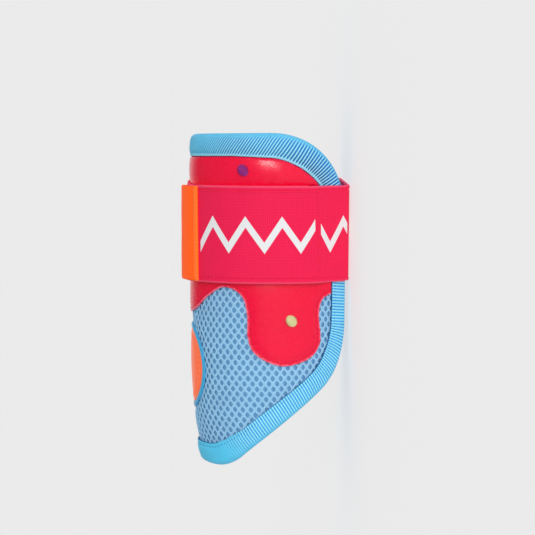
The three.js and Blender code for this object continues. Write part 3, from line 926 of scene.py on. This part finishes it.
rib_tool, given, end_with = new_node_tool("tape_ribs", {"Rib height": VALUE})
lift = maths(rib_tool, "POWER", rib_arch(rib_tool, point_value(rib_tool, "rib_turn")), rib_round)
lift = maths(rib_tool, "SUBTRACT", lift, rib_level)
lift = maths(rib_tool, "MULTIPLY", lift, point_value(rib_tool, "ribbing"))
lift = maths(rib_tool, "MULTIPLY", lift, given["Rib height"])
normal = add_node(rib_tool, "GeometryNodeInputNormal").outputs[0]
offset = add_node(rib_tool, "ShaderNodeVectorMath", {0: normal, "Scale": lift}, operation="SCALE").outputs[0]
ribs = add_node(rib_tool, "GeometryNodeSetPosition", {"Geometry": given["Geometry"], "Offset": offset})
end_with(ribs.outputs[0])
run_node_tool(edge_tape, rib_tool, {"Rib height": rib_height, "Finish": ribbed_tape})
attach(edge_tape, "root")
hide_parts("edge_binding")

# Strap
# One band of wide woven elastic, wound round the guard and lapped over its own start on one side, where
# a hook patch inside the lap holds it. It has a corded selvedge and a white zigzag printed on the lap.
strap_thick = 1.5 * mm
strap_inner = 1.8 * mm
strap_outer = 4.9 * mm
lap_end = 103 * mm
step_down = 120 * mm
sewn_end = 14 * mm
station_step = 1.4 * mm
bend_steps = 10
bend_place = side_edge - edge_core


def strap_wall(across, height, rise):
    def points(along, face):
        flat = np.stack([np.full_like(along, across), along + rise], -1)
        return on_shell(flat, height + face * strap_thick)
    return points


def strap_bend(side, share, rise):
    def points(along, face):
        flat = np.stack([np.full_like(along, side * bend_place), along + rise], -1)
        centre = on_shell(flat, -pad_edge_thick / 2)
        normal = shell_normal(flat[:, 0], flat[:, 1])
        start = np.arctan2(normal[:, 2], side * normal[:, 0])
        angle = start + (-math.pi / 2 - start) * share
        wall_reach = pad_edge_thick / 2 + strap_inner
        reach = wall_reach + (centre[:, 2] - strap_thick - wall_reach) * share + face * strap_thick
        return centre + np.stack([side * np.cos(angle) * reach, 0 * reach, np.sin(angle) * reach], -1)
    return points


def steps_between(start, end, step):
    return np.linspace(start, end, max(2, round(abs(end - start) / step) + 1))[:-1]


def lap_height(across):
    """How high off the shell the strap's inner face lies on the lap, and where it steps down past it."""
    return eased(across, lap_end, step_down, strap_outer, strap_inner)


lap_places = np.concatenate([
    steps_between(sewn_end, lap_end, station_step), steps_between(lap_end, step_down, station_step),
])
to_bend = steps_between(step_down, bend_place, station_step)
strap_path = [strap_wall(s, lap_height(s), strap_rise_near) for s in lap_places]
strap_path += [strap_wall(s, strap_inner, strap_rise_near) for s in to_bend]
strap_path += [strap_bend(1, share, strap_rise_near) for share in steps_between(0, 1, 1 / bend_steps)]
back_from, back_to = strap_bend(1, 1, strap_rise_near), strap_bend(-1, 1, strap_rise_far)


def strap_back(share):
    return lambda along, face: back_from(along, face) * (1 - share) + back_to(along, face) * share


strap_path += [strap_back(share) for share in np.linspace(0, 1, 12)[:-1]]
strap_path += [strap_bend(-1, share, strap_rise_far) for share in steps_between(1, 0, 1 / bend_steps)]
to_lap_end = steps_between(-bend_place, lap_end, station_step)
strap_path += [strap_wall(s, strap_inner, strap_rise(s)) for s in to_lap_end]
strap_path.append(strap_wall(lap_end, strap_inner, strap_rise_near))

edge_round = 0.3 * mm
half_strap = strap_width / 2 - edge_round
cord_in = 2.6 * mm
near_edge = np.array([0, 0.4, 1.0, 1.6, 2.2, 2.6, 2.9, 3.2, 3.5, 3.8, 4.4]) * mm
plain_half = half_strap - 6 * mm
strap_rows = np.concatenate([
    -half_strap + near_edge, np.linspace(-plain_half, plain_half, 22), (half_strap - near_edge)[::-1],
])
from_selvedge = half_strap - np.abs(strap_rows)
cord_groove = 0.26 * bell(from_selvedge - cord_in, 0.35 * mm)
cord_swell = 0.16 * bell(from_selvedge - cord_in / 2, 1.1 * mm)
strap_relief = cord_swell - cord_groove


def strap_grid(face, rows):
    return np.stack([station(rows, face) for station in strap_path], 1)


strap_top = strap_grid(1 + strap_relief, strap_rows)
strap_under = strap_grid(0 - strap_relief * 0.5, strap_rows)
spread_rows = strap_rows * (1 + edge_round / half_strap)
rim = grid_rim(*strap_top.shape[:2])
strap_middle = strap_grid(np.full(len(strap_rows), 0.5), spread_rows).reshape(-1, 3)[rim]
centre_line = strap_top[len(strap_rows) // 2]
strap_run = run_lengths(centre_line)
strap_uv = np.stack(np.broadcast_arrays(strap_run, strap_rows[:, None]), -1)
strap_band = closed_slab("strap_band", strap_top, strap_under, [strap_middle], strap_uv)

red_elastic, tree, shader = new_finish(
    "red_elastic", Roughness=0.65, Specular_IOR_Level=0.15, Sheen_Weight=0.05, Sheen_Roughness=0.4,
    Sheen_Tint=paint(255, 120, 150),
)
pattern = pattern_of(tree)
parts = axes_of(tree, pattern)
print_start, print_end = 20 * mm, 132 * mm
box_start, box_end, box_half = 32 * mm, 108 * mm, 27.8 * mm
box_gap = 2.4 * mm
box_run = float(np.interp(box_end, lap_places, strap_run[:len(lap_places)]))
zig_length, zig_height, zig_stroke, zig_blur = 24 * mm, 17 * mm, 4.2 * mm, 0.15 * mm
wave = maths(tree, "PINGPONG", maths(tree, "SUBTRACT", parts["X"], print_start), zig_length / 2)
line = maths(tree, "MULTIPLY_ADD", wave, 2 * zig_height / zig_length, -zig_height / 2)
slope = math.atan2(2 * zig_height, zig_length)
off_line = maths(tree, "ABSOLUTE", maths(tree, "SUBTRACT", parts["Y"], line))
off_line = maths(tree, "MULTIPLY", off_line, math.cos(slope))
inked = ramp(tree, off_line, zig_stroke / 2 + zig_blur, zig_stroke / 2 - zig_blur)
from_box = maths(tree, "ABSOLUTE", maths(tree, "SUBTRACT", parts["X"], box_run))
for operation, value, limit in (
    ("GREATER_THAN", parts["X"], print_start),
    ("LESS_THAN", parts["X"], print_end),
    ("GREATER_THAN", from_box, box_gap),
):
    inked = maths(tree, "MULTIPLY", inked, maths(tree, operation, value, limit))
weave = knitted(tree, pattern, 1.2 * mm, 1 * mm, 0.7)
cloth = blended(tree, weave, paint(216, 4, 50), paint(255, 36, 90))
# the corded selvedges are painted paler pink: partly the cord's own paler thread, partly a painted highlight
# along it
from_middle = maths(tree, "ABSOLUTE", parts["Y"])
cord_pale_and_highlight = ramp(tree, from_middle, half_strap - 1.2 * mm, half_strap - 0.3 * mm, 0.42)
cloth = blended(tree, cord_pale_and_highlight, cloth, paint(255, 116, 150))
covered = blended(tree, inked, dyed(tree, pattern, cloth, 50.0, 0.1), paint(240, 241, 243))
dress(tree, shader, covered, weave, 0.18 * mm, 0.6)
strap_band.data.materials.append(red_elastic)
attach(strap_band, "root")
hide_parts("strap")

# Hook patch
# The closure inside the strap's lap: hook tape sewn under the strap's outer end with a box of stitches.
# Only its edge can be seen, between the strap's two layers.
hook_tape, tree, shader = new_finish("hook_tape", Roughness=0.9, Specular_IOR_Level=0.15)
shade = dyed(tree, place_of(tree), paint(176, 16, 44), 300.0, 0.4)
tree.links.new(shade, shader.inputs["Base Color"])
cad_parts["hook_patch"].material_slots[0].material = hook_tape

# Pull tab
# A folded piece of orange tape on the strap's outer end, to open the strap by. Its two leaves hold the end
# of the strap between them, and the outer leaf ends in a turned hem with a row of stitches beside it.
tab_thick = 0.8 * mm
tab_fold = -6 * mm
tab_end = 30 * mm
tab_width = 62.4 * mm
tab_low = 3.8 * mm
tab_high = 7.5 * mm
tab_middle = (tab_low + tab_high) / 2
hem_start, hem_turn = 27.2 * mm, 0.7 * mm
hem_height = 0.4 * mm


def tab_line(reach, hem):
    """(across, height) places of a face of the folded tape, from the inner leaf's end to the outer leaf's."""
    leaf = np.linspace(tab_end, tab_fold, 60)
    angles = half_turn(12)
    fold = np.stack([tab_fold - reach * np.sin(angles), tab_middle - reach * np.cos(angles)], -1)
    inner = np.stack([leaf, np.full(len(leaf), tab_middle - reach)], -1)
    turned = hem * soft_step(leaf, hem_start, hem_start + hem_turn)
    outer = np.stack([leaf, tab_middle + reach + turned], -1)[::-1]
    return np.concatenate([inner, fold, outer])


tab_reach = (tab_high - tab_low) / 2
tab_rows = np.linspace(-tab_width / 2, tab_width / 2, 48)
from_tab_edge = tab_width / 2 - np.abs(tab_rows)
tab_edge_drop = 0.25 * mm * np.exp(-from_tab_edge / (0.5 * mm))
tab_waves = 0.1 * mm * np.sin(tab_rows / (9 * mm)) ** 2
tab_relief = tab_waves - tab_edge_drop


def tab_grid(reach, hem, relief):
    line = tab_line(reach, hem)
    flat = np.stack(np.broadcast_arrays(line[:, 0], tab_rows[:, None] + strap_rise_near), -1)
    outward = np.where(np.arange(len(line)) > len(line) // 2, 1.0, -1.0)
    return on_shell(flat, line[:, 1] + relief[:, None] * outward)


tab_run = run_lengths(tab_line(tab_reach, 0))
tab_uv = np.stack(np.broadcast_arrays(tab_run, tab_rows[:, None]), -1)
tab_outside = tab_grid(tab_reach, hem_height, tab_relief)
tab_inside = tab_grid(tab_reach - tab_thick, 0, 0 * tab_relief)
tab_tape = closed_slab("tab_tape", tab_outside, tab_inside, [], tab_uv)
# the tape's faint orange glow (emission) is painted light that brightens it
orange_tape, tree, shader = new_finish(
    "orange_tape", Roughness=0.55, Specular_IOR_Level=0.1, Emission_Color=paint(255, 90, 10),
    Emission_Strength=0.3,
)
pattern = pattern_of(tree)
weave = knitted(tree, pattern, 0.8 * mm, 0.8 * mm, 0.6)
cloth = blended(tree, weave, paint(255, 78, 4), paint(255, 98, 10))
hem_run = float(tab_run[-1]) - (tab_end - hem_start)
on_hem = maths(tree, "GREATER_THAN", axes_of(tree, pattern)["X"], hem_run)
on_hem = maths(tree, "MULTIPLY", on_hem, 0.5)
hemmed = blended(tree, on_hem, cloth, paint(255, 146, 66))
dress(tree, shader, dyed(tree, pattern, hemmed, 80.0, 0.14), weave, 0.15 * mm, 0.5)
tab_tape.data.materials.append(orange_tape)
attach(tab_tape, "root")
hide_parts("pull_tab")

# Badge and rim
# A plain oval badge of soft moulded rubber, domed and glossy with a moulded step, held on the tongue's mesh
# inside a raised rim of a second colour.
badge_base = 0.2 * mm
badge_segments = 192
flute_count = 36
flute_depth = 0.2 * mm
flute_middle, flute_spread = 0.82, 0.085


def laid_round(name, profile, flutes=0 * mm):
    """A round piece of a given profile, stretched to the badge's oval and laid on the mesh cover."""
    angles = np.linspace(0, 2 * math.pi, badge_segments, endpoint=False)
    oval = np.stack([badge_half_across * np.cos(angles), badge_half_along * np.sin(angles)], -1)
    rings, faces, points, uv = [], [], [], []
    for share, lift in profile:
        flat = share * oval if share > 0 else np.zeros((1, 2))
        rings.append(np.broadcast_to(len(uv) + np.arange(len(flat)), badge_segments))
        place = flat + (0, badge_along)
        border = math.exp(-((share - flute_middle) / flute_spread) ** 4) if lift > 0 else 0
        relief = flutes * border * np.cos(flute_count * angles[:len(flat)])
        points.append(on_shell(place, foam_rise(place) + badge_base + lift + relief))
        uv.extend(flat)
    pairs = list(zip(rings, rings[1:]))
    if profile[0][0] > 0:
        pairs.append((rings[-1], rings[0]))
    # A quad at the centre names its one point twice, and is made a triangle.
    for a, b in pairs:
        faces.extend(list(dict.fromkeys(face)) for face in ring_faces(b, a).tolist())
    return new_piece(name, np.concatenate(points), faces, np.array(uv))


def moulded_finish(name, colour, drift, pebbles, **values):
    """Soft moulded rubber: a colour with its drift of shade, and a finely pebbled skin."""
    finish, tree, shader = new_finish(name, **values)
    pattern = pattern_of(tree)
    shade = dyed(tree, pattern, colour, *drift)
    dress(tree, shader, shade, noise(tree, pattern, pebbles, 2.0), 0.05 * mm, 0.5)
    return finish


underside = [(0, 0), *[(share, 0) for share in np.linspace(0.1, 0.97, 10)]]
bevel = [(0.99, 0.1), (1, 0.2), (1, 0.35), (0.985, 0.5), (0.965, 0.57), (0.94, 0.6)]
bevel = [(share, lift * mm) for share, lift in bevel]
crown_shares = np.linspace(0.92, 0.02, 60)
crown_step = 0.15 * mm * soft_step(-crown_shares, -0.72, -0.68)
crown = 0.6 * mm + 0.25 * mm * np.cos(crown_shares / 0.94 * math.pi / 2) + crown_step
dome_profile = [*underside, *bevel, *zip(crown_shares, crown), (0, 1.0 * mm)]
badge_dome = laid_round("badge_dome", dome_profile, flute_depth)
# the badge's faint orange glow (emission) is painted light that brightens it
orange_badge = moulded_finish(
    "orange_badge", paint(255, 112, 62), (40.0, 0.12), 1500.0, Roughness=0.35, Specular_IOR_Level=0.4,
    Emission_Color=paint(255, 112, 72), Emission_Strength=0.26,
)
badge_dome.data.materials.append(orange_badge)
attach(badge_dome, "root")
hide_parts("badge")

rim_in, rim_wide = 1.0125, 0.133
rim_section = (
    (1, 0), (1, 0.4), (0.95, 0.65), (0.8, 0.88), (0.5, 1.0), (0.2, 0.88), (0.05, 0.65), (0, 0.4), (0, 0),
)
rim_profile = [(rim_in + rim_wide * across, lift * mm) for across, lift in rim_section]
badge_ring = laid_round("badge_ring", rim_profile)
blue_rim = moulded_finish(
    "blue_rim", paint(66, 178, 228), (60.0, 0.14), 1800.0, Roughness=0.33, Specular_IOR_Level=0.45,
)
badge_ring.data.materials.append(blue_rim)
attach(badge_ring, "root")
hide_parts("badge_rim")

# Sewing
# Rows of lock stitches in matching thread: along the panel's lobed edge, the tape, the box that holds the
# hook patch, and the tab's hem. Each stitch is a short length of thread pulled into the cloth.
stitch_tool, given, end_with = new_node_tool("lock_stitches", {"Width": VALUE, "Thickness": VALUE})
long = point_value(stitch_tool, "long")
run_way, out_way = [point_value(stitch_tool, name, "FLOAT_VECTOR") for name in ("run", "out")]
align = "FunctionNodeAlignRotationToVector"
turned = add_node(stitch_tool, align, {"Vector": run_way}, axis="X").outputs[0]
both_ways = {"Rotation": turned, "Vector": out_way}
turned = add_node(stitch_tool, align, both_ways, axis="Z", pivot_axis="X").outputs[0]
ball = {"Segments": 8, "Rings": 6, "Radius": 0.5}
thread = add_node(stitch_tool, "GeometryNodeMeshUVSphere", ball).outputs[0]
sizes = {0: long, 1: given["Width"], 2: given["Thickness"]}
size = add_node(stitch_tool, "ShaderNodeCombineXYZ", sizes).outputs[0]
sewn = {"Points": given["Geometry"], "Instance": thread, "Rotation": turned, "Scale": size}
end_with(add_node(stitch_tool, "GeometryNodeInstanceOnPoints", sewn).outputs[0])


def sew(name, points, ways, outs, longs, width, thickness, finish):
    """A piece of stitches at points, along their ways, out of the cloth."""
    piece = new_piece(name, points, [])
    keep_values(piece, "run", ways, "FLOAT_VECTOR", "vector")
    keep_values(piece, "out", outs, "FLOAT_VECTOR", "vector")
    keep_values(piece, "long", np.broadcast_to(longs, len(points)))
    run_node_tool(piece, stitch_tool, {"Width": width, "Thickness": thickness, "Finish": finish})
    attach(piece, "root")
    return piece


stitch_share = 0.78
stitch_width, stitch_thick = 0.55 * mm, 0.5 * mm


def sew_along(name, flat_line, height, pitch, finish, closed=False):
    """Stitches along a line of the flat pattern, at a height off the shell."""
    line = np.concatenate([flat_line, flat_line[:1]]) if closed else flat_line
    flat = even_run(line, round(run_lengths(line)[-1] / pitch) + 1)
    centres = (flat[1:] + flat[:-1]) / 2
    lifts = height(centres) if callable(height) else np.full(len(centres), height)
    points = on_shell(centres, lifts)
    ways = on_shell(flat[1:], lifts) - on_shell(flat[:-1], lifts)
    outs = shell_normal(centres[:, 0], centres[:, 1])
    return sew(name, points, ways, outs, pitch * stitch_share, stitch_width, stitch_thick, finish)


def thread_finish(name, colour, roughness=0.5):
    finish, tree, shader = new_finish(name, Roughness=roughness, Specular_IOR_Level=0.3)
    place = place_of(tree)
    shade = dyed(tree, place, colour, 700.0, 0.3)
    dress(tree, shader, shade, noise(tree, place, 3500.0, 1.0), 0.08 * mm, 0.6)
    return finish


red_thread = thread_finish("red_thread", paint(214, 8, 50))
strap_thread = thread_finish("strap_thread", paint(230, 20, 64))
blue_thread = thread_finish("blue_thread", paint(58, 126, 196))
orange_thread = thread_finish("orange_thread", paint(255, 150, 86))


def offset_line(line, distance):
    """A line moved sideways in the flat pattern, to the left of its way."""
    way = np.gradient(line, axis=0)
    left = np.stack([-way[:, 1], way[:, 0]], -1)
    return line + left / np.linalg.norm(left, axis=1, keepdims=True) * distance


stitch_line = offset_line(lobe_edge, lobe_stitch_in)[8:-8]
sew_along("panel_stitches", stitch_line, panel_height, 2.6 * mm, red_thread)
tape_seam = tape_line(tape_width - tape_stitch_in)
seam_sink = 0.15 * mm
tape_top = -pad_edge_thick / 2 + inner_reach + tape_thick - seam_sink
sew_along("tape_stitches", tape_seam, tape_top, 3.0 * mm, blue_thread, closed=True)
box_corners = [(box_start, box_half), (box_end, box_half), (box_end, -box_half), (box_start, -box_half)]
box_line = even_run(np.array(box_corners) + (0, strap_rise_near), 600)


def strap_lap_top(flat):
    return lap_height(flat[..., 0]) + strap_thick


sew_along("strap_stitches", box_line, strap_lap_top, 2.6 * mm, strap_thread)
tab_hem = 26.4 * mm
hem_half = tab_width / 2 - 2 * mm
hem_line = np.array([(tab_hem, strap_rise_near - hem_half), (tab_hem, strap_rise_near + hem_half)])
hem_line = even_run(hem_line, 100)
sew_along("tab_stitches", hem_line, tab_high, 2.4 * mm, orange_thread)

# Embroidered dots
# Small round dots worked in satin stitch on the panel: threads laid side by side across each dot and
# crowned over a padding of under-stitches.
dot_radius = 4 * mm
dot_thread = 0.5 * mm
dot_overlap = 1.25
dot_pile = 1.5 * mm
dot_lift = 0.5 * mm
dot_slant = math.radians(35)
for dot_name, across, along, colour in (
    ("plum", 62 * mm, 43 * mm, paint(170, 58, 152)),
    ("cream", 90 * mm, -55 * mm, paint(232, 228, 170)),
):
    dot_finish = thread_finish(f"{dot_name}_thread", colour, roughness=0.35)
    for side_name, side in (("near", 1), ("far", -1)):
        places = np.arange(-dot_radius + dot_thread / 2, dot_radius, dot_thread)
        way = np.array([math.cos(dot_slant), math.sin(dot_slant)])
        across_way = np.array([-way[1], way[0]])
        flat = np.array([side * across, along]) + places[:, None] * across_way
        longs = 2 * np.sqrt(dot_radius ** 2 - places ** 2)
        lifts = panel_height(flat) + dot_lift * (1 - (places / dot_radius) ** 2)
        ways = on_shell(flat + way * mm, lifts) - on_shell(flat - way * mm, lifts)
        outs = shell_normal(flat[:, 0], flat[:, 1])
        dot = sew(f"dot_{dot_name}_threads_{side_name}", on_shell(flat, lifts), ways, outs, longs,
                  dot_thread * dot_overlap, dot_pile, dot_finish)
        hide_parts(f"dot_{dot_name}_{side_name}")

# Floor, light and camera
# A plain pale floor under soft studio light: a bright surround, a key light from the guard's near side and
# two softer ones. The camera stands at that side, turned so that the wide end is at the top.
floor_half = 60.0
floor_level = -0.6 * mm
floor_corners = ((-1, -1), (1, -1), (1, 1), (-1, 1))
floor_points = [(x * floor_half, y * floor_half, floor_level) for x, y in floor_corners]
floor = new_piece("floor", floor_points, [(0, 1, 2, 3)])


def grey(value):
    return (value, value, value, 1)


pale_floor, tree, shader = new_finish(
    "pale_floor", Roughness=1.0, Specular_IOR_Level=0.0, Base_Color=grey(0.3), Emission_Strength=0.636,
)
mirrored = add_node(tree, "ShaderNodeLightPath").outputs["Is Glossy Ray"]
tree.links.new(blended(tree, mirrored, grey(1), grey(0.04)), shader.inputs["Emission Color"])
floor.data.materials.append(pale_floor)

studio = bpy.data.worlds.new("studio")
studio.use_nodes = True
tree = studio.node_tree
way = axes_of(tree, add_node(tree, "ShaderNodeTexCoord").outputs["Generated"])
lit = blended(tree, ramp(tree, way["Z"], 0.1, 0.6), grey(0.8), grey(0.3))
mirrored = blended(tree, ramp(tree, way["X"], -0.68, -0.92), grey(0.03), grey(0.9))
rays = add_node(tree, "ShaderNodeLightPath").outputs
dimmed = blended(tree, rays["Is Glossy Ray"], lit, mirrored)
seen = blended(tree, rays["Is Camera Ray"], dimmed, grey(0.83))
tree.links.new(seen, tree.nodes["Background"].inputs["Color"])
bpy.context.scene.world = studio
bpy.context.scene.view_settings.view_transform = "Standard"


def turned_to(side, up, back):
    """A turn whose three axes point along the given ways."""
    return Matrix(np.stack([side, up, back], -1).tolist()).to_4x4()


def add_sun(name, towards, strength, softness, mirrored):
    """A soft sun whose light comes from the given side, and which glossy surfaces mirror or not."""
    lamp = bpy.data.lights.new(name, "SUN")
    lamp.energy = strength
    lamp.angle = math.radians(softness)
    sun = bpy.data.objects.new(name, lamp)
    sun.visible_glossy = mirrored
    way = np.array(towards) / np.linalg.norm(towards)
    side = np.cross((0.0, 0.0, 1.0), way)
    side /= np.linalg.norm(side)
    sun.matrix_world = turned_to(side, np.cross(way, side), way)
    bpy.context.scene.collection.objects.link(sun)


add_sun("key", (0.94, 0.38, 0.02), 1.75, 24, True)
add_sun("top", (0.0, 0.3, 1.0), 0.55, 120, False)
add_sun("fill", (-0.9, 0.1, 0.4), 0.5, 90, False)

picture_pixels = 535
pixel = 0.675 * mm
camera_distance = 1.3
camera_rise = math.radians(3.5)
camera_turn = math.radians(3.0)
aim = np.array([0, -23.1, 52.4]) * mm
level = math.cos(camera_rise)
back = np.array([level * math.cos(camera_turn), math.sin(camera_rise), level * math.sin(camera_turn)])
right = np.cross(-back, (0.0, 1.0, 0.0))
right /= np.linalg.norm(right)
up = np.cross(right, -back)
lens = bpy.data.cameras.new("camera")
lens.sensor_width = 36
lens.lens = lens.sensor_width * camera_distance / (picture_pixels * pixel)
lens.clip_end = 200
camera = bpy.data.objects.new("camera", lens)
spot = aim + back * camera_distance
camera.matrix_world = Matrix.Translation(spot) @ turned_to(right, up, back)
bpy.context.scene.collection.objects.link(camera)
bpy.context.scene.camera = camera
